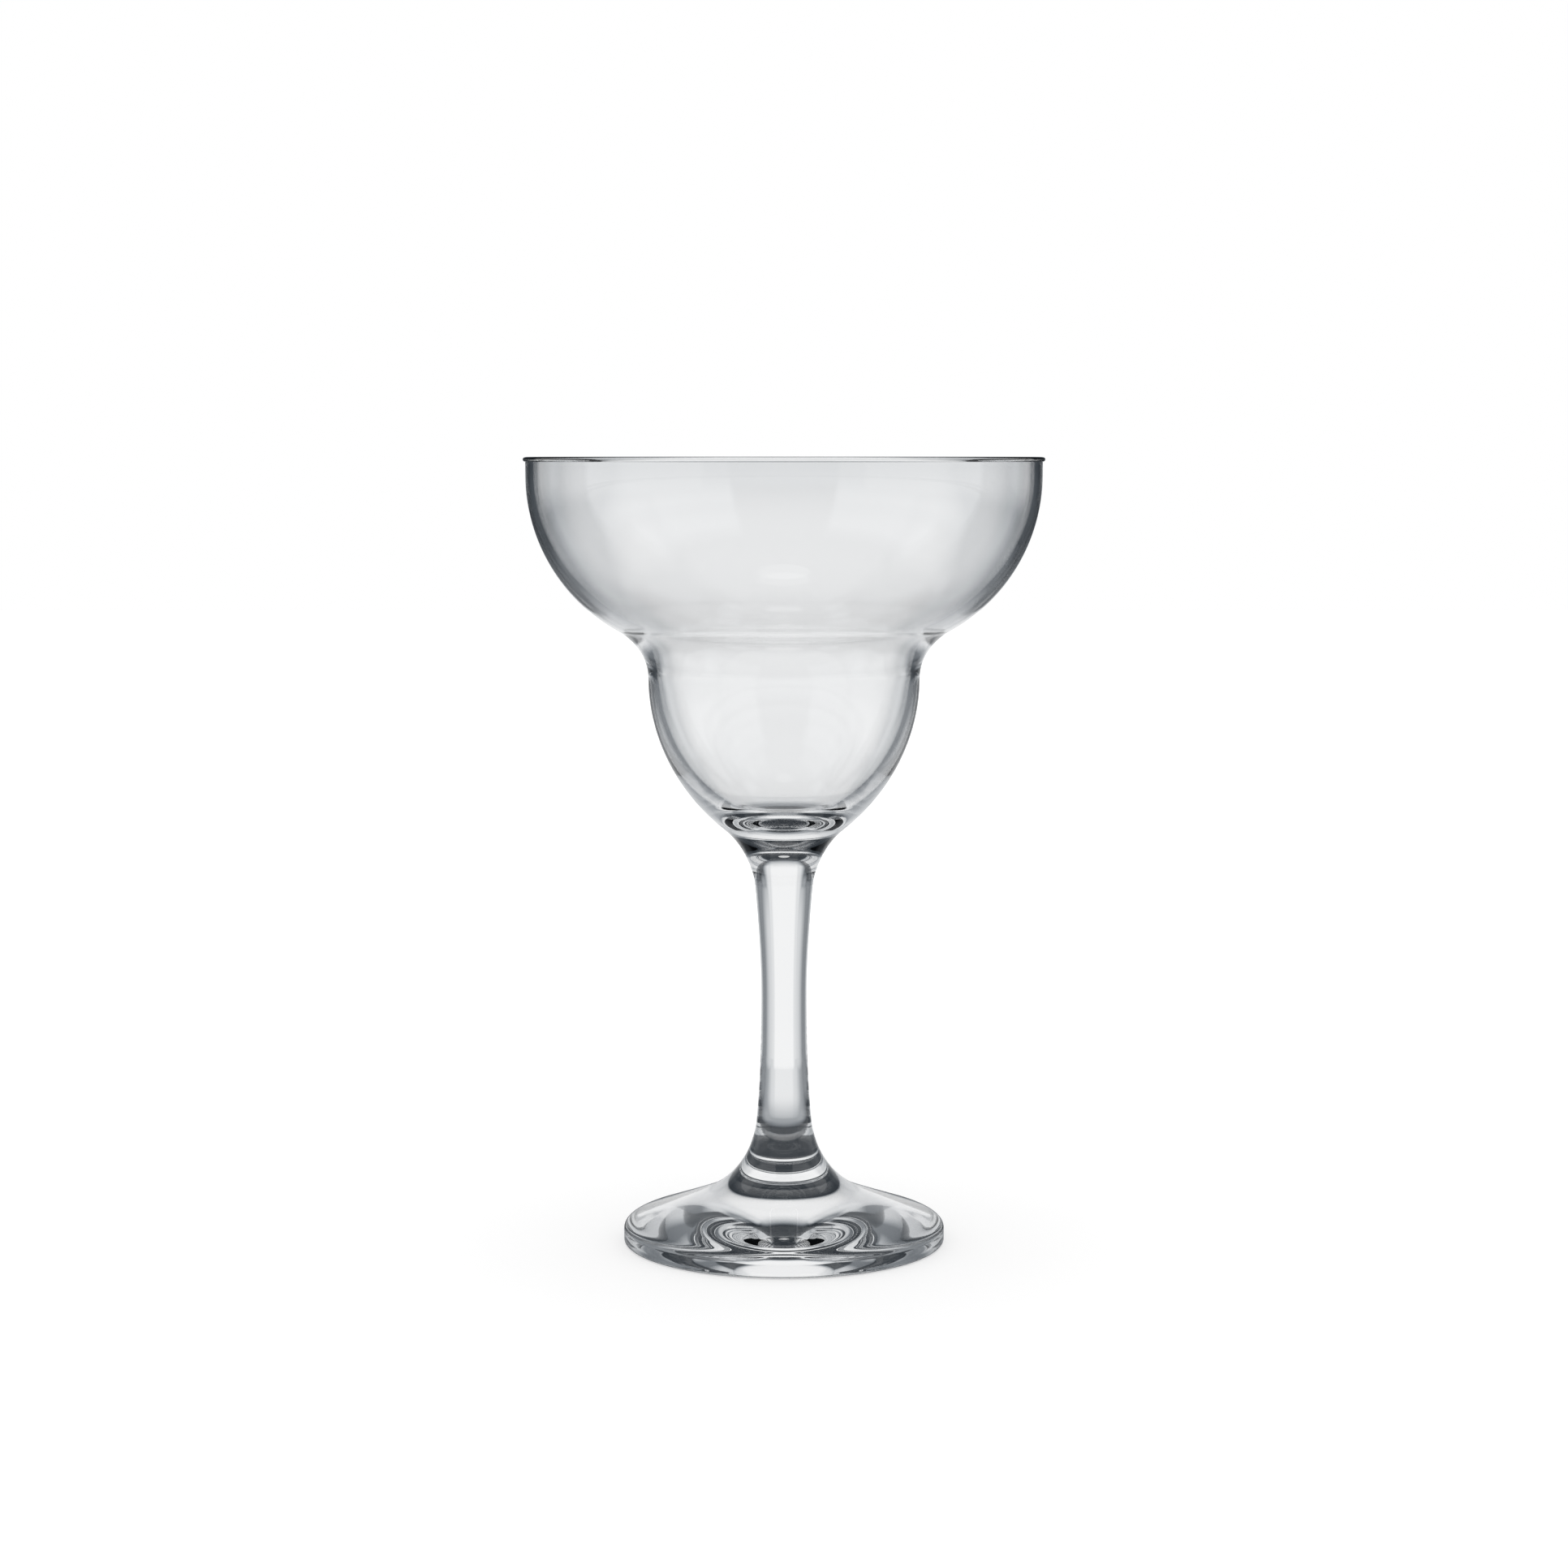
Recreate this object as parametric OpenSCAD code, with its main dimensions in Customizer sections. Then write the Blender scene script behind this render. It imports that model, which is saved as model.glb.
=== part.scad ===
// Stemmed margarita glass: a wide saucer over a small rounded cup, on a drawn stem and a pressed foot.
// The glass stands on the table at height zero, with its axis on Z and the foot's centre at the origin.
// Bowl, stem and foot are three gathers of glass, and they meet face to face at their welds.
// A station is a place on a piece's section: its radius, its height and how far the glass leans there
// from straight up, in degrees, with a lean away from the axis positive.

/* [Overall] */
// Height from the table to the top of the rim
glass_h = 175; // [169:1:187]
// Outside diameter across the bead of the rim
rim_d = 114.3; // [110:0.1:120]
// Outside diameter of the foot
foot_d = 71.7; // [66:0.1:78]

/* [Rim] */
// Height of the bead, seen from the side
bead_h = 1.1; // [0.8:0.1:1.6]
// How far the bead stands out from the lip
bead_out = 0.55; // [0.3:0.05:0.8]
// Depth of the straight lip, from the top of the rim
lip_h = 4.1; // [2.4:0.1:6]
// Thickness of the lip
lip_wall = 1.7; // [1.4:0.1:2.4]
// Height of the rounding inside the rim
lip_round = 1; // [0.6:0.1:1.6]

/* [Saucer] */
// Depth of the saucer, from the lip to its shoulder
saucer_h = 33.9; // [31:0.1:38]
// How far the shoulder stands out beyond the neck of the cup
shoulder_out = 6.75; // [5.5:0.05:9]
// Lean of the saucer at the shoulder
shoulder_lean = 60.8; // [54:0.1:64]
// Thickness of the wall at the shoulder
shoulder_wall = 2.5; // [1.8:0.1:3.2]

/* [Cup] */
// Height of the cove between the shoulder and the neck of the cup
cove_h = 10.5; // [9:0.1:13]
// Outside diameter of the neck, where the cup is upright
neck_d = 60; // [56:0.1:63]
// Thickness of the wall at the narrowest place inside the neck, against the neck's own radius
neck_wall = 2; // [1.6:0.1:2.6]
// Height of that narrowest place inside above the neck
neck_rise = 2.3; // [1.6:0.1:3]
// Height of the cup, from its neck down to where it turns to the stem
cup_h = 33.6; // [31:0.1:36]
// How far the foot of the cup stands out beyond the upper weld
cup_end_out = 6.15; // [5:0.05:7.5]
// Lean at the foot of the cup
cup_end_lean = 51.5; // [46:0.1:56]
// Height of the stub under the cup, down to the upper weld
stub_h = 9.2; // [7.5:0.1:11]
// Depth of solid glass from the middle of the cup's floor to the upper weld
cup_base = 11.6; // [10.4:0.1:13]
// Diameter inside the cup where its side turns into the floor
floor_d = 32; // [28:0.1:34]
// Height of that turn above the middle of the floor
floor_rise = 5.3; // [4.4:0.1:6.2]
// Lean of the cup's inside at that turn
floor_lean = 48; // [44:0.1:52]

/* [Stem] */
// Diameter of the upper weld
upper_weld_d = 14.4; // [13.6:0.1:15.6]
// Lean at the upper weld
upper_weld_lean = 18.6; // [14:0.1:24]
// Depth of the upper knee, where the stub's spread ends in the stem, below the weld
upper_knee_h = 3.8; // [3:0.1:5]
// How far the upper knee lies inside the weld's edge
upper_knee_in = 0.8; // [0.5:0.05:1.2]
// Lean at the upper knee
upper_knee_lean = 4.9; // [3:0.1:8]
// Diameter of the waist, the thinnest place of the stem
waist_d = 10.1; // [9:0.1:11]
// Share of the stem's length at which the waist lies above the lower weld
waist_share = 0.53; // [0.4:0.01:0.65]
// Height of the lower knee, where the foot's flare starts in the stem, above the weld
lower_knee_h = 4; // [3:0.1:5]
// How far the lower knee lies inside the weld's edge
lower_knee_in = 0.9; // [0.6:0.05:1.3]
// Lean at the lower knee
lower_knee_lean = 5.4; // [3:0.1:8]
// Diameter of the lower weld
lower_weld_d = 14.1; // [13.4:0.1:15.4]
// Lean at the lower weld
lower_weld_lean = 16.9; // [12:0.1:22]

/* [Foot] */
// Height of the lower weld above the table
foot_h = 23.1; // [21:0.1:25]
// Diameter where the flare turns into the cone of the foot
flare_d = 36.4; // [33:0.1:39]
// Height of the foot there
flare_h = 10.9; // [9.8:0.1:12]
// Lean of the cone there
flare_lean = 68.5; // [64:0.1:72]
// How far the brow, where the cone turns down, lies inside the edge
brow_in = 2.85; // [2.2:0.05:4]
// Height of the brow
brow_h = 5.5; // [5.1:0.1:6.3]
// Lean of the cone at the brow
brow_lean = 70.5; // [66:0.1:74]
// Height of the upright edge's upper end
edge_top_h = 3.1; // [2.6:0.1:3.7]
// Height of the upright edge's lower end
edge_low_h = 0.8; // [0.5:0.1:1.4]
// How far the ring that stands on the table lies inside the edge
ring_in = 1.55; // [1:0.05:3]
// Width of the standing ring
ring_w = 1.8; // [1:0.1:3]
// Height of the hollow under the foot
hollow_h = 1.8; // [1.2:0.1:2.6]
// Lean of the hollow where it leaves the standing ring
hollow_lean = 83; // [79:1:86]

/* [Hidden] */
// Straight runs in each bend of a section
bend_runs = 16;
// Heading of a section that runs out, up and in
OUT = 0;
UP = 90;
IN = 180;
// Height of each weld and of the places on the bowl
lower_weld_z = foot_h;
upper_weld_z = glass_h - lip_h - saucer_h - cove_h - cup_h - stub_h;
cup_end_z = upper_weld_z + stub_h;
floor_z = upper_weld_z + cup_base;
neck_z = cup_end_z + cup_h;
shoulder_z = neck_z + cove_h;
lip_z = shoulder_z + saucer_h;
stem_h = upper_weld_z - lower_weld_z;
// Radius at the welds, at the foot's edge, outside and inside the lip, and at the crown of the rim
upper_weld_r = upper_weld_d / 2;
lower_weld_r = lower_weld_d / 2;
edge_r = foot_d / 2;
lip_r = rim_d / 2 - bead_out;
lip_in_r = lip_r - lip_wall;
crown_r = (rim_d / 2 + lip_in_r) / 2;
// Colour of clear glass against a light ground
clear_glass = [0.86, 0.9, 0.91];
$fn = 240;

// Station at a radius and a height, on its way up the outside with a lean
function rising(r, z, lean) = [r, z, UP - lean];

// Station inside the wall, at a thickness square to the outside and headed back down
function lining(s, wall) =
    [s[0] - wall * sin(s[2]), s[1] + wall * cos(s[2]), s[2] + IN];

// Point at a share of the way along a bend that leaves a and arrives at b
function bend_point(a, b, reach, way_share) =
    let (
        start = [a[0], a[1]],
        leave = start + reach * [cos(a[2]), sin(a[2])],
        end = [b[0], b[1]],
        arrive = end - reach * [cos(b[2]), sin(b[2])],
        left_share = 1 - way_share
    )
    pow(left_share, 3) * start + 3 * pow(left_share, 2) * way_share * leave
        + 3 * left_share * pow(way_share, 2) * arrive + pow(way_share, 3) * end;

// Bend between two stations: a round arc wherever they lie on one, and one straight run where their
// headings agree
function bend(a, b) =
    let (
        chord = norm([b[0] - a[0], b[1] - a[1]]),
        turn = abs(b[2] - a[2]),
        runs = turn < 1 ? 1 : bend_runs,
        reach = turn < 1 ? chord / 3 : chord * tan(turn / 4) / sin(turn / 2) * 2 / 3
    )
    [for (i = [1 : runs]) bend_point(a, b, reach, i / runs)];

// Smooth line through a row of stations
function flow(stations) = [
    [stations[0][0], stations[0][1]],
    for (i = [1 : len(stations) - 1]) each bend(stations[i - 1], stations[i])
];

// Stations that a piece shares with its neighbour or with its own inside
lower_weld = rising(lower_weld_r, lower_weld_z, -lower_weld_lean);
upper_weld = rising(upper_weld_r, upper_weld_z, upper_weld_lean);
shoulder = rising(neck_d / 2 + shoulder_out, shoulder_z, shoulder_lean);
neck = rising(neck_d / 2, neck_z, 0);

// Solid of glass turned about the axis from one closed section
module turned(section) {
    color(clear_glass)
        rotate_extrude()
            polygon(section);
}

// Blown bowl: stub, cup, cove and saucer up the outside, over the beaded rim and down the inside
module bowl() {
    outside = flow([
        upper_weld,
        rising(upper_weld_r + cup_end_out, cup_end_z, cup_end_lean),
        neck,
        shoulder,
        rising(lip_r, lip_z, 0)
    ]);
    bead = flow([
        [lip_r, glass_h - bead_h, OUT],
        [rim_d / 2, glass_h - bead_h / 2, UP],
        [crown_r, glass_h, IN],
        [lip_in_r, glass_h - lip_round, UP + IN]
    ]);
    inside = flow([
        [lip_in_r, lip_z, UP + IN],
        lining(shoulder, shoulder_wall),
        [neck_d / 2 - neck_wall, neck_z + neck_rise, UP + IN],
        [floor_d / 2, floor_z + floor_rise, UP + IN - floor_lean],
        [0, floor_z, IN]
    ]);
    turned(concat([[0, upper_weld_z]], outside, bead, inside));
}

// Drawn stem: a solid rod that narrows from both welds, past a knee at each end, to its waist
module stem() {
    side = flow([
        lower_weld,
        rising(lower_weld_r - lower_knee_in, lower_weld_z + lower_knee_h, -lower_knee_lean),
        rising(waist_d / 2, lower_weld_z + stem_h * waist_share, 0),
        rising(upper_weld_r - upper_knee_in, upper_weld_z - upper_knee_h, upper_knee_lean),
        upper_weld
    ]);
    turned(concat([[0, lower_weld_z]], side, [[0, upper_weld_z]]));
}

// Pressed foot: standing ring, upright edge, brow, cone and flare, with a hollow underneath
module foot() {
    ring_r = edge_r - ring_in;
    outside = flow([
        [ring_r, 0, OUT],
        [edge_r, edge_low_h, UP],
        [edge_r, edge_top_h, UP],
        rising(edge_r - brow_in, brow_h, -brow_lean),
        rising(flare_d / 2, flare_h, -flare_lean),
        lower_weld
    ]);
    hollow = flow([
        [0, hollow_h, OUT],
        [ring_r - ring_w, 0, hollow_lean - UP]
    ]);
    turned(concat(hollow, outside, [[0, lower_weld_z]]));
}

bowl();
stem();
foot();
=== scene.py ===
"""Margarita glass: the turned bowl, stem and foot in clear polished glass, in a bright plain studio."""

from math import cos, degrees, pi, radians, sin

import bpy
import numpy as np
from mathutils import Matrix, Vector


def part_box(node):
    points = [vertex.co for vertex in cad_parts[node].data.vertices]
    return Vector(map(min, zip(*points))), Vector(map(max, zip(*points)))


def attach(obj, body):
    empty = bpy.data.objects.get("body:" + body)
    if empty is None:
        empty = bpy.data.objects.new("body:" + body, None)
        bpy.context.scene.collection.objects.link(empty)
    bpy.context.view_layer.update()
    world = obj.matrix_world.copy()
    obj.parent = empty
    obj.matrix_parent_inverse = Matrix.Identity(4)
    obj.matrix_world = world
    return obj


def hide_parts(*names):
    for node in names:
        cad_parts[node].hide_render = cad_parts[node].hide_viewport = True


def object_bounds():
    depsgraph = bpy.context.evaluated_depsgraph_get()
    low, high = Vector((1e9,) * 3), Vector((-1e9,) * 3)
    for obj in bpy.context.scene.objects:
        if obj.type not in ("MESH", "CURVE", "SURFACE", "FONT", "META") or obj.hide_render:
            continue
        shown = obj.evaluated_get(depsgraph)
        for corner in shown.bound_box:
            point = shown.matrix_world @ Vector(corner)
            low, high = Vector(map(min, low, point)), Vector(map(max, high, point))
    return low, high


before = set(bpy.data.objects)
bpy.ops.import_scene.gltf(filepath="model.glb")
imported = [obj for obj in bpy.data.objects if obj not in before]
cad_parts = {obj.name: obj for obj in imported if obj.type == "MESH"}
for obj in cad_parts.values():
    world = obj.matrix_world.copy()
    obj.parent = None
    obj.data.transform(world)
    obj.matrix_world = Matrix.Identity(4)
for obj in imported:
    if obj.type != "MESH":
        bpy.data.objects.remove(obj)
cad_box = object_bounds()
scene = bpy.context.scene

MM = 0.001
BODY = "root"

# Sections: read off the solids, and turned again with finer and smoother rings
SAME_PLACE = 0.01 * MM
RUN_SPLITS = 2
SEGMENTS = 240
# Turns of heading in degrees: below the first the line is straight, above the second it has an edge
STRAIGHT = 0.03
CREASE = 12.0

# Glass: clear, with a faint tint
GLASS_IOR = 1.52
GLASS_TINT = (0.965, 0.968, 0.97, 1.0)
# Polish: roughness at its best and worst, and the levels of the noise where it is so
POLISH_LOW = 0.0
POLISH_HIGH = 0.012
POLISH_LOW_NOISE = 0.4
POLISH_HIGH_NOISE = 0.75
POLISH_SIZE = 2.5 * MM
POLISH_DETAIL = 3.0
# Waves: left in the glass by the way each piece was made, and drawn out along x, y and z
WAVE_HEIGHT = 0.0015 * MM
WAVE_SIZE = 9.0 * MM
WAVE_DETAIL = 1.0
BLOWN_STRETCH = (0.35, 0.35, 1.0)
DRAWN_STRETCH = (1.0, 1.0, 0.15)
PRESSED_STRETCH = (0.7, 0.7, 1.0)

# Camera: level with the rim's bead, and pitched down at the middle of the glass
BEAD_DROP = 0.55 * MM
CAMERA_DISTANCE = 706.3 * MM
CAMERA_LENS = 73.56
CAMERA_SENSOR = 36.0
CAMERA_PITCH = 5.786

# Studio: a round tent of light that only the glass sees, and the table inside it
TENT_RADIUS = 0.18
TENT_HEIGHT = 1.5
TENT_SIDES = 180
# Level of the room where no panel lies; on the table near the axis this dim level is a painted shadow
# under the foot
ROOM_LEVEL = 0.04
# Powers of the light's level in red, green and blue: dim parts of the studio are the cooler
COOL_SHADE = (1.05, 1.0, 0.95)
# Panels: angles are counted from straight behind the glass, alike to both sides, in degrees
# Edges that a panel doesn't have: no first edge, no last angle, no last distance
OPEN = -1
ROUND = 200
FAR = 10.0
# Tent: from angle, to angle, softness, from height, to height in metres, softness, level
TENT = {
    "backdrop": (OPEN, 22, 8, OPEN, 0.196, 0.05, 0.95),
    "backdrop_rim": (OPEN, 26, 6, OPEN, 0.185, 0.018, 0.78),
    "backdrop_wide": (OPEN, 36, 5, OPEN, 0.137, 0.031, 0.32),
    "backdrop_low": (OPEN, 37, 14, OPEN, 0.084, 0.026, 0.7),
    "corner_low": (30, 66, 8, OPEN, 0.11, 0.02, 0.2),
    "corner_high": (40, 66, 8, 0.1, 0.18, 0.02, 0.09),
    "side_wall": (58, 118, 14, OPEN, 0.132, 0.06, 0.65),
    "side_low": (89, 128, 10, OPEN, 0.111, 0.046, 0.82),
    "side_middle": (96, 130, 6, OPEN, 0.15, 0.02, 0.5),
    "side_window": (57, 151, 2, 0.14, 0.265, 0.025, 0.85),
    "side_top": (76, 151, 2, 0.255, 0.382, 0.029, 0.55),
    "front_wall": (126, ROUND, 6, OPEN, 0.195, 0.025, 0.62),
}
# No table panel reaches the axis: under the foot the table keeps the room's dim level, a painted shadow of
# the foot seen through the glass
# Table: from angle, to angle, softness, from distance, to distance in metres, softness, level
TABLE = {
    "back": (OPEN, 21, 9, 0.087, FAR, 0.036, 0.85),
    "back_wide": (OPEN, 30, 14, 0.085, FAR, 0.033, 0.74),
    "back_near": (OPEN, 41, 14, 0.066, 0.176, 0.013, 0.37),
    "back_edge": (OPEN, 22, 8, 0.15, FAR, 0.022, 0.95),
    "back_edge_wide": (OPEN, 38, 14, 0.15, FAR, 0.022, 0.65),
    "corner": (30, 66, 8, 0.1, FAR, 0.02, 0.2),
    "side": (78, 128, 9, 0.074, FAR, 0.021, 0.49),
    "side_near": (73, 115, 8, 0.034, 0.054, 0.002, 0.37),
    "side_edge": (60, 128, 9, 0.15, FAR, 0.022, 0.65),
    "front": (124, ROUND, 6, 0.046, FAR, 0.021, 0.7),
}

# World: its level for all but the camera, which sees it white
WORLD_LEVEL = 0.7

# Floor: grey under the lamp, with a lift that only the camera sees
FLOOR_SIDE = 6.0
FLOOR_DROP = 0.05 * MM
FLOOR_COLOUR = (0.5, 0.5, 0.5, 1.0)
FLOOR_LIFT = 0.56
# Distance from the axis where the floor starts to turn white, away from the shadow
SHADOW_REACH = 0.16

# Lamp: a square one, level over the glass
LAMP_HEIGHT = 1.2
LAMP_SIDE = 1.0
LAMP_POWER = 6.0

# Light paths: long enough for walls of glass behind walls of glass
THROUGH_BOUNCES = 32
MIRROR_BOUNCES = 16


def rings_of(solid):
    """Radius and height of each ring of a turned solid, and the rings that each one is joined to."""
    places = np.array([solid.matrix_world @ v.co for v in solid.data.vertices])
    section = np.stack([np.hypot(places[:, 0], places[:, 1]), places[:, 2]], axis=1)
    ring_of = np.unique(np.round(section / SAME_PLACE), axis=0, return_inverse=True)[1].ravel()
    counts = np.bincount(ring_of)[:, None]
    rings = np.stack([np.bincount(ring_of, section[:, i]) for i in (0, 1)], axis=1) / counts
    joined = [set() for ring in rings]
    for edge in solid.data.edges:
        a, b = (int(ring_of[v]) for v in edge.vertices)
        if a != b:
            joined[a].add(b)
            joined[b].add(a)
    return rings, joined


def section_of(node, start):
    """Radius and height along a turned node's side, from the weld at its low or high end."""
    rings, joined = rings_of(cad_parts[node])
    level = rings[:, 1].min() if start == "low" else rings[:, 1].max()
    at_level = np.abs(rings[:, 1] - level) < SAME_PLACE
    here = int(np.argmax(np.where(at_level, rings[:, 0], -1.0)))
    path, seen = [here], {here}
    while True:
        onward = [i for i in joined[here] if i not in seen]
        if not onward:
            return rings[path]
        here = min(onward, key=lambda i: np.linalg.norm(rings[i] - rings[path[-1]]))
        path.append(here)
        seen.add(here)


def turns_of(points):
    """Change of heading at each inner point, in degrees."""
    steps = np.diff(points, axis=0)
    heading = np.unwrap(np.arctan2(steps[:, 1], steps[:, 0]))
    return np.degrees(np.abs(np.diff(heading)))


def plain_section(points):
    """The points without repeats and without those that lie on a straight line."""
    kept = [points[0]]
    for point in points[1:]:
        if np.linalg.norm(point - kept[-1]) > 2 * SAME_PLACE:
            kept.append(point)
    kept = np.array(kept)
    bent = np.concatenate([[True], turns_of(kept) > STRAIGHT, [True]])
    return kept[bent]


def beyond(end, inner):
    """Point beyond the end of a stretch: its mirror image where the end lies on the axis."""
    if end[0] < SAME_PLACE:
        return np.array([-inner[0], inner[1]])
    return 2 * end - inner


def on_curve(start, leave, end, arrive, gap, t):
    """Point at the share t of a curve that leaves its start and arrives at its end at given slopes."""
    return (
        (2 * t ** 3 - 3 * t ** 2 + 1) * start
        + (t ** 3 - 2 * t ** 2 + t) * gap * leave
        + (3 * t ** 2 - 2 * t ** 3) * end
        + (t ** 3 - t ** 2) * gap * arrive
    )


def cut_finer(stretch):
    """A smooth stretch with each run cut in RUN_SPLITS, on a curve that stays inside its box."""
    if len(stretch) < 3:
        return stretch
    points = np.vstack([
        beyond(stretch[0], stretch[1]), stretch, beyond(stretch[-1], stretch[-2])
    ])
    # Gaps as square roots of the runs keep the curve from swinging out beside a short run
    gaps = np.sqrt(np.linalg.norm(np.diff(points, axis=0), axis=1))
    finer = [stretch[0]]
    for i in range(1, len(points) - 2):
        p0, p1, p2, p3 = points[i - 1 : i + 3]
        g0, g1, g2 = gaps[i - 1 : i + 2]
        leave = (p1 - p0) / g0 - (p2 - p0) / (g0 + g1) + (p2 - p1) / g1
        arrive = (p2 - p1) / g1 - (p3 - p1) / (g1 + g2) + (p3 - p2) / g2
        for k in range(1, RUN_SPLITS + 1):
            finer.append(on_curve(p1, leave, p2, arrive, g1, k / RUN_SPLITS))
    return np.clip(np.array(finer), stretch.min(axis=0), stretch.max(axis=0))


def smooth_section(points):
    """The section with its smooth stretches cut finer, and its creases kept."""
    creases = [i + 1 for i, turn in enumerate(turns_of(points)) if turn > CREASE]
    stops = [0, *creases, len(points) - 1]
    parts = [cut_finer(points[a : b + 1]) for a, b in zip(stops[:-1], stops[1:])]
    return np.vstack([parts[0], *(part[1:] for part in parts[1:])])


def closed_section(points):
    """The section with both of its ends on the axis."""
    parts = [[[0.0, points[0][1]]], points]
    if points[-1][0] >= SAME_PLACE:
        parts.append([[0.0, points[-1][1]]])
    return np.vstack(parts)


def outward(section):
    """The section in the order that makes its turned faces look outward."""
    r, z = section[:, 0], section[:, 1]
    area = np.sum(r[:-1] * np.diff(z) - z[:-1] * np.diff(r))
    return section[::-1] if area < 0 else section


def turned_rings(section):
    """Vertices turned from a section, and the vertices of each ring: a single one on the axis."""
    around = [2 * pi * k / SEGMENTS for k in range(SEGMENTS)]
    vertices, rings = [], []
    for r, z in section:
        if r < SAME_PLACE:
            rings.append([len(vertices)] * SEGMENTS)
            vertices.append((0.0, 0.0, z))
        else:
            rings.append(range(len(vertices), len(vertices) + SEGMENTS))
            vertices += [(r * cos(a), r * sin(a), z) for a in around]
    return vertices, rings


def turned_piece(name, section, welds):
    """Closed mesh turned from a section that ends on the axis; runs at a weld's height take slot 1."""
    section = outward(section)
    vertices, rings = turned_rings(section)
    faces, slots = [], []
    for (low, high), (a, b) in zip(zip(section[:-1], section[1:]), zip(rings[:-1], rings[1:])):
        at_weld = any(abs(low[1] - w) < SAME_PLACE and abs(high[1] - w) < SAME_PLACE for w in welds)
        for k in range(SEGMENTS):
            after = (k + 1) % SEGMENTS
            corners = dict.fromkeys((a[k], a[after], b[after], b[k]))
            faces.append(tuple(corners))
            slots.append(1 if at_weld else 0)
    mesh = bpy.data.meshes.new(name)
    mesh.from_pydata(vertices, [], faces)
    mesh.polygons.foreach_set("material_index", slots)
    mesh.shade_smooth()
    mesh.set_sharp_from_angle(angle=radians(CREASE))
    mesh.update()
    piece = bpy.data.objects.new(name, mesh)
    scene.collection.objects.link(piece)
    return piece


def add_node(tree, kind, **settings):
    """New node with its settings made."""
    made = tree.nodes.new(kind)
    for key, value in settings.items():
        setattr(made, key, value)
    return made


def noise_over(tree, stretch, size, detail):
    """Noise over a piece's own coordinates, stretched along x, y and z."""
    place = add_node(tree, "ShaderNodeTexCoord")
    mapping = add_node(tree, "ShaderNodeMapping")
    mapping.inputs["Scale"].default_value = stretch
    noise = add_node(tree, "ShaderNodeTexNoise")
    noise.inputs["Scale"].default_value = 1.0 / size
    noise.inputs["Detail"].default_value = detail
    tree.links.new(place.outputs["Object"], mapping.inputs["Vector"])
    tree.links.new(mapping.outputs["Vector"], noise.inputs["Vector"])
    return noise.outputs["Fac"]


def glass_material(name, stretch):
    """Clear polished glass whose faint waves and polish follow the way the piece was made."""
    material = bpy.data.materials.new(name)
    material.use_nodes = True
    tree = material.node_tree
    shader = tree.nodes["Principled BSDF"]
    shader.inputs["Base Color"].default_value = GLASS_TINT
    shader.inputs["IOR"].default_value = GLASS_IOR
    shader.inputs["Transmission Weight"].default_value = 1.0
    polish = add_node(tree, "ShaderNodeMapRange")
    polish.inputs["From Min"].default_value = POLISH_LOW_NOISE
    polish.inputs["From Max"].default_value = POLISH_HIGH_NOISE
    polish.inputs["To Min"].default_value = POLISH_LOW
    polish.inputs["To Max"].default_value = POLISH_HIGH
    tree.links.new(noise_over(tree, stretch, POLISH_SIZE, POLISH_DETAIL), polish.inputs["Value"])
    tree.links.new(polish.outputs["Result"], shader.inputs["Roughness"])
    wave = add_node(tree, "ShaderNodeBump")
    wave.inputs["Strength"].default_value = 1.0
    wave.inputs["Distance"].default_value = WAVE_HEIGHT
    tree.links.new(noise_over(tree, stretch, WAVE_SIZE, WAVE_DETAIL), wave.inputs["Height"])
    tree.links.new(wave.outputs["Normal"], shader.inputs["Normal"])
    return material


def weld_material():
    """Fused joint between two gathers of the same glass, which light passes unbent."""
    material = bpy.data.materials.new("fused_weld")
    material.use_nodes = True
    material.node_tree.nodes["Principled BSDF"].inputs["Alpha"].default_value = 0.0
    return material


def dress(node, start, stretch, weld, welds):
    """Turns a node's section again as a smooth piece of glass that stands for the node."""
    section = smooth_section(plain_section(section_of(node, start)))
    piece = turned_piece(f"glass_{node}", closed_section(section), welds)
    piece.data.materials.append(glass_material(f"{node}_glass", stretch))
    piece.data.materials.append(weld)
    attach(piece, BODY)
    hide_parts(node)


def glass_pieces():
    """Bowl, stem and foot: blown with waves round the axis, drawn along it, and pressed."""
    lower_weld, upper_weld = (corner[2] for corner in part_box("stem"))
    weld = weld_material()
    dress("bowl", "low", BLOWN_STRETCH, weld, (upper_weld,))
    dress("stem", "low", DRAWN_STRETCH, weld, (lower_weld, upper_weld))
    dress("foot", "high", PRESSED_STRETCH, weld, (lower_weld,))


def combined(tree, operation, first, second):
    """Two values or sockets put together by a Math node."""
    node = add_node(tree, "ShaderNodeMath", operation=operation)
    for socket, value in zip(node.inputs, (first, second)):
        if isinstance(value, (int, float)):
            socket.default_value = value
        else:
            tree.links.new(value, socket)
    return node.outputs["Value"]


def soft_step(tree, value, edge, soft, rises):
    """0 on one side of an edge and 1 on the other, with a soft change between."""
    step = add_node(tree, "ShaderNodeMapRange", interpolation_type="SMOOTHSTEP")
    step.inputs["From Min"].default_value = edge - soft
    step.inputs["From Max"].default_value = edge + soft
    step.inputs["To Min"].default_value = 0.0 if rises else 1.0
    step.inputs["To Max"].default_value = 1.0 if rises else 0.0
    tree.links.new(value, step.inputs["Value"])
    return step.outputs["Result"]


def place_parts(tree):
    """Sockets for x, y and z in the scene."""
    place = add_node(tree, "ShaderNodeNewGeometry")
    parts = add_node(tree, "ShaderNodeSeparateXYZ")
    tree.links.new(place.outputs["Position"], parts.inputs["Vector"])
    return [parts.outputs[axis] for axis in ("X", "Y", "Z")]


def angle_from_behind(tree, x, y):
    """Angle from straight behind the glass, alike to both sides, in degrees."""
    turn = combined(tree, "ARCTAN2", combined(tree, "ABSOLUTE", x, 0.0), y)
    return combined(tree, "MULTIPLY", turn, degrees(1.0))


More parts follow.
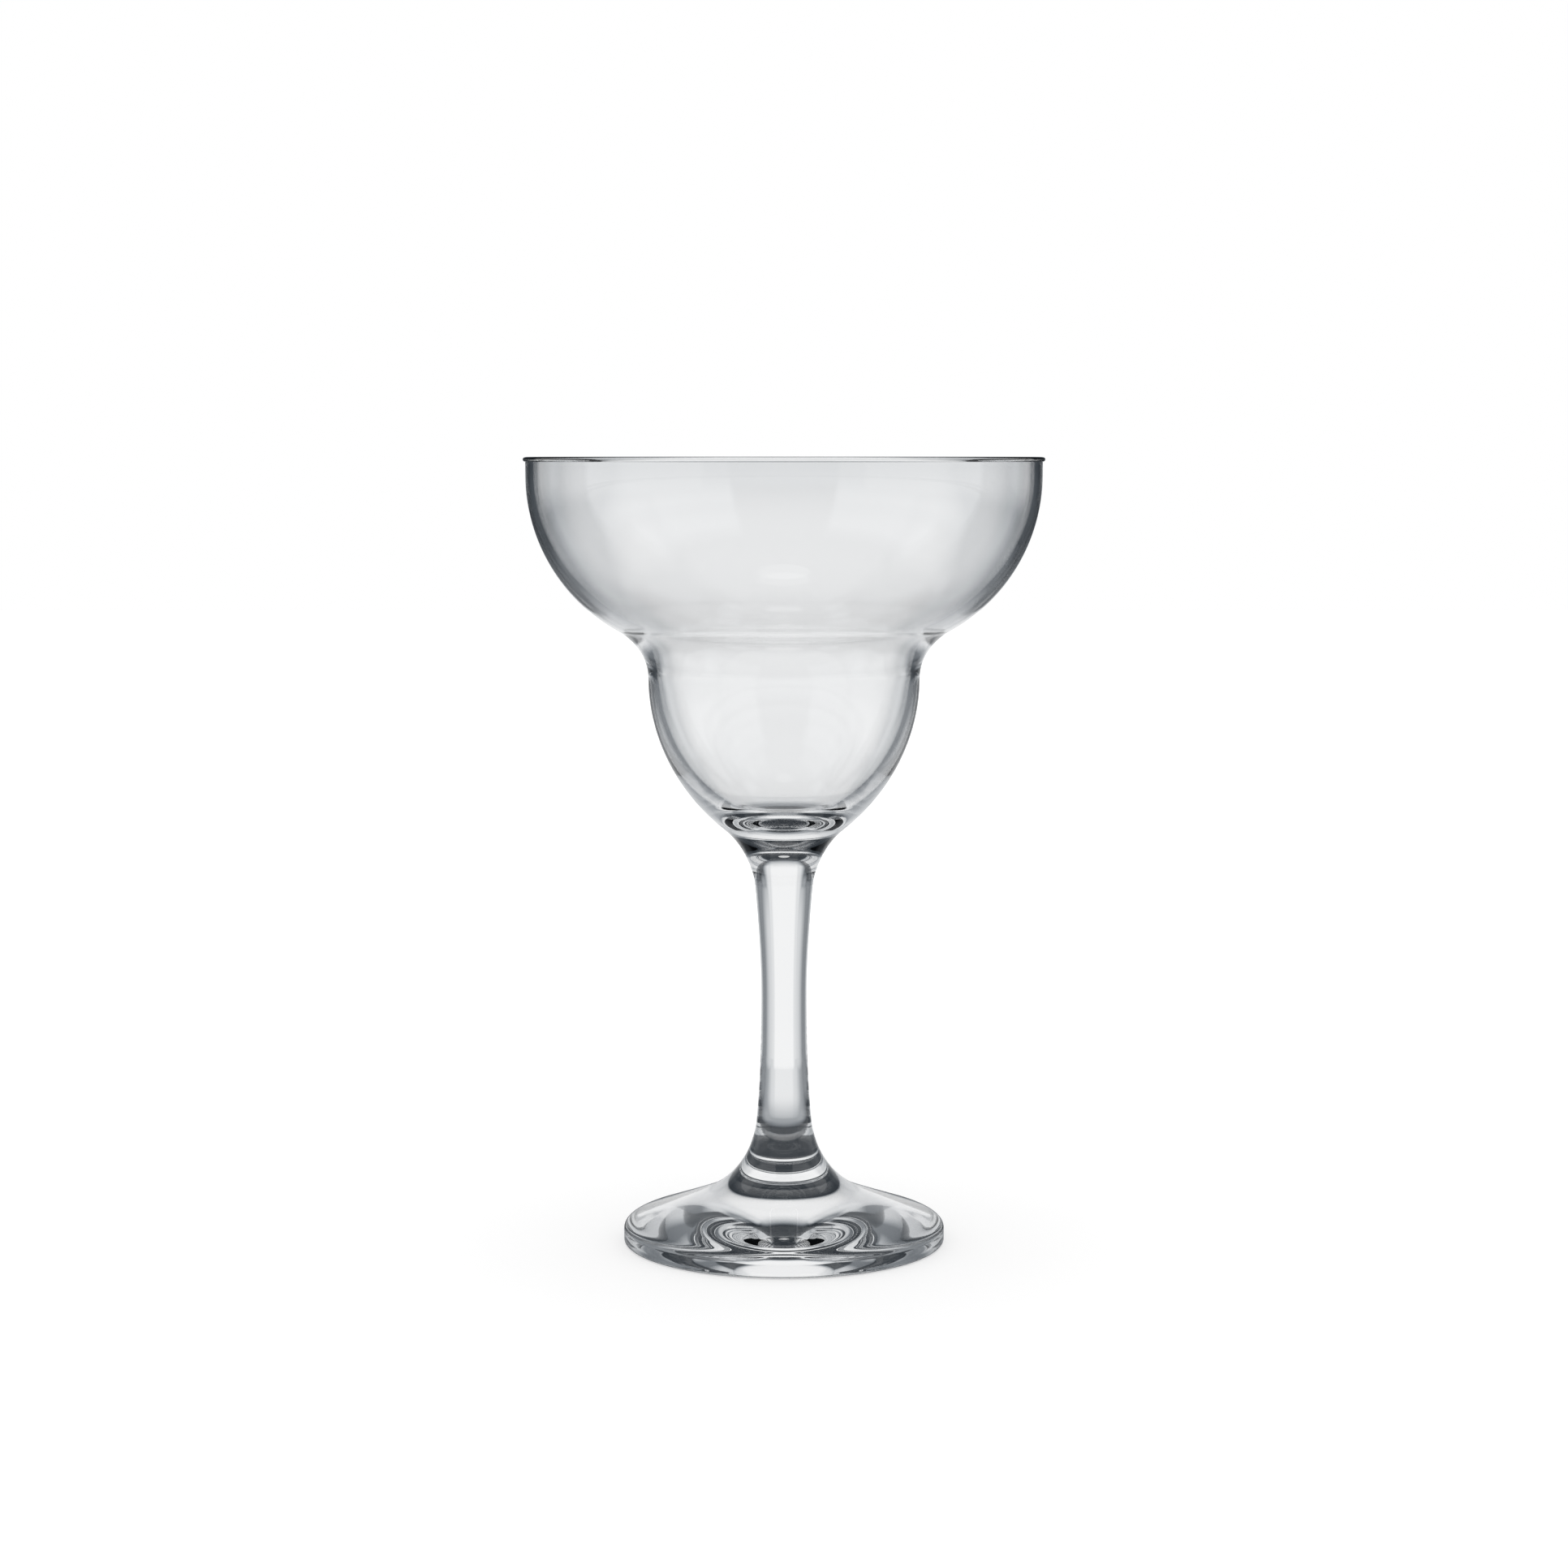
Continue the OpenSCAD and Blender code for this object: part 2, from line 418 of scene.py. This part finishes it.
def distance_from_axis(tree, x, y):
    """Distance from the axis of the glass."""
    squares = [combined(tree, "MULTIPLY", part, part) for part in (x, y)]
    return combined(tree, "SQRT", combined(tree, "ADD", *squares), 0.0)


def panels(tree, angle, reach, named):
    """Level of light where panels lie, at an angle and a height or distance."""
    level = None
    for first_angle, last_angle, turn_soft, first, last, reach_soft, strength in named.values():
        inside = soft_step(tree, angle, last_angle, turn_soft, False)
        edges = [(angle, first_angle, turn_soft, True), (reach, first, reach_soft, True)]
        for value, edge, soft, rises in edges + [(reach, last, reach_soft, False)]:
            if edge > 0:
                inside = combined(tree, "MULTIPLY", inside, soft_step(tree, value, edge, soft, rises))
        lit = combined(tree, "MULTIPLY", inside, strength)
        level = lit if level is None else combined(tree, "MAXIMUM", level, lit)
    return combined(tree, "MAXIMUM", level, ROOM_LEVEL)


def studio_light(tree, angle, reach, named):
    """Light of the panels and of the dim, cool room between them."""
    level = panels(tree, angle, reach, named)
    colour = add_node(tree, "ShaderNodeCombineColor")
    for socket, power in zip(colour.inputs, COOL_SHADE):
        tree.links.new(combined(tree, "POWER", level, power), socket)
    glow = add_node(tree, "ShaderNodeEmission")
    tree.links.new(colour.outputs["Color"], glow.inputs["Color"])
    return glow.outputs["Emission"]


def tent_material():
    """Cloth that glows where the panels of light lie behind it."""
    material = bpy.data.materials.new("tent_light")
    material.use_nodes = True
    tree = material.node_tree
    tree.nodes.clear()
    x, y, z = place_parts(tree)
    light = studio_light(tree, angle_from_behind(tree, x, y), z, TENT)
    output = add_node(tree, "ShaderNodeOutputMaterial")
    tree.links.new(light, output.inputs["Surface"])
    return material


def light_tent():
    """Round tent about the glass, seen in the glass alone."""
    around = [2 * pi * k / TENT_SIDES for k in range(TENT_SIDES)]
    vertices = [
        (TENT_RADIUS * cos(a), TENT_RADIUS * sin(a), z) for z in (-FLOOR_DROP, TENT_HEIGHT) for a in around
    ]
    faces = [
        (k, (k + 1) % TENT_SIDES, TENT_SIDES + (k + 1) % TENT_SIDES, TENT_SIDES + k)
        for k in range(TENT_SIDES)
    ]
    mesh = bpy.data.meshes.new("tent")
    mesh.from_pydata(vertices, [], faces)
    mesh.materials.append(tent_material())
    tent = bpy.data.objects.new("tent", mesh)
    tent.visible_camera = False
    tent.visible_diffuse = False
    tent.visible_shadow = False
    scene.collection.objects.link(tent)


def matt_floor(tree, distance, camera_ray):
    """Matt floor under the lamp, lifted for the camera and white to it away from the glass."""
    away = soft_step(tree, distance, 2 * SHADOW_REACH, SHADOW_REACH, True)
    whiter = combined(tree, "MAXIMUM", away, FLOOR_LIFT)
    lift = add_node(tree, "ShaderNodeEmission")
    tree.links.new(combined(tree, "MULTIPLY", camera_ray, whiter), lift.inputs["Strength"])
    matt = add_node(tree, "ShaderNodeBsdfDiffuse")
    matt.inputs["Color"].default_value = FLOOR_COLOUR
    lit = add_node(tree, "ShaderNodeAddShader")
    tree.links.new(matt.outputs["BSDF"], lit.inputs[0])
    tree.links.new(lift.outputs["Emission"], lit.inputs[1])
    return lit.outputs["Shader"]


def floor_material():
    """Pale floor that keeps the shadow, in whose place the glass sees the table of the studio, with a
    painted shadow under the foot.
    """
    material = bpy.data.materials.new("pale_floor")
    material.use_nodes = True
    tree = material.node_tree
    tree.nodes.clear()
    x, y = place_parts(tree)[:2]
    distance = distance_from_axis(tree, x, y)
    table = studio_light(tree, angle_from_behind(tree, x, y), distance, TABLE)
    ray = add_node(tree, "ShaderNodeLightPath").outputs
    floor = matt_floor(tree, distance, ray["Is Camera Ray"])
    by_glass = combined(tree, "MAXIMUM", ray["Is Transmission Ray"], ray["Is Glossy Ray"])
    seen = add_node(tree, "ShaderNodeMixShader")
    tree.links.new(by_glass, seen.inputs["Fac"])
    tree.links.new(floor, seen.inputs[1])
    tree.links.new(table, seen.inputs[2])
    output = add_node(tree, "ShaderNodeOutputMaterial")
    tree.links.new(seen.outputs["Shader"], output.inputs["Surface"])
    return material


def pale_floor():
    """Plain pale floor, just under the ring that the glass stands on."""
    half = FLOOR_SIDE / 2
    corners = [(-half, -half, 0), (half, -half, 0), (half, half, 0), (-half, half, 0)]
    mesh = bpy.data.meshes.new("floor")
    mesh.from_pydata(corners, [], [(0, 1, 2, 3)])
    mesh.materials.append(floor_material())
    floor = bpy.data.objects.new("floor", mesh)
    floor.location.z = cad_box[0][2] - FLOOR_DROP
    scene.collection.objects.link(floor)


def white_studio():
    """World: white where the camera sees it, and a softer light elsewhere."""
    world = bpy.data.worlds.new("studio")
    scene.world = world
    world.use_nodes = True
    tree = world.node_tree
    background = tree.nodes["Background"]
    background.inputs["Color"].default_value = (1.0, 1.0, 1.0, 1.0)
    ray = add_node(tree, "ShaderNodeLightPath").outputs
    level = combined(tree, "MAXIMUM", ray["Is Camera Ray"], WORLD_LEVEL)
    tree.links.new(level, background.inputs["Strength"])


def soft_lamp():
    """Large lamp over the table, for the shadow; the glass doesn't mirror it."""
    lamp = bpy.data.lights.new("overhead", "AREA")
    lamp.size = LAMP_SIDE
    lamp.energy = LAMP_POWER
    holder = bpy.data.objects.new("overhead", lamp)
    holder.location.z = LAMP_HEIGHT
    holder.visible_glossy = False
    holder.visible_transmission = False
    scene.collection.objects.link(holder)


def photo_camera():
    """Camera where the photograph was taken from."""
    data = bpy.data.cameras.new("photo_camera")
    data.sensor_width = CAMERA_SENSOR
    data.lens = CAMERA_LENS
    holder = bpy.data.objects.new("photo_camera", data)
    holder.location = (0.0, -CAMERA_DISTANCE, cad_box[1][2] - BEAD_DROP)
    holder.rotation_euler = (radians(90.0 - CAMERA_PITCH), 0.0, 0.0)
    scene.collection.objects.link(holder)
    scene.camera = holder


def render_settings():
    """Plain view of the light, and paths long enough for nested glass."""
    scene.view_settings.view_transform = "Standard"
    scene.cycles.max_bounces = THROUGH_BOUNCES
    scene.cycles.transmission_bounces = THROUGH_BOUNCES
    scene.cycles.glossy_bounces = MIRROR_BOUNCES
    scene.cycles.transparent_max_bounces = MIRROR_BOUNCES


glass_pieces()
white_studio()
light_tent()
pale_floor()
soft_lamp()
photo_camera()
render_settings()
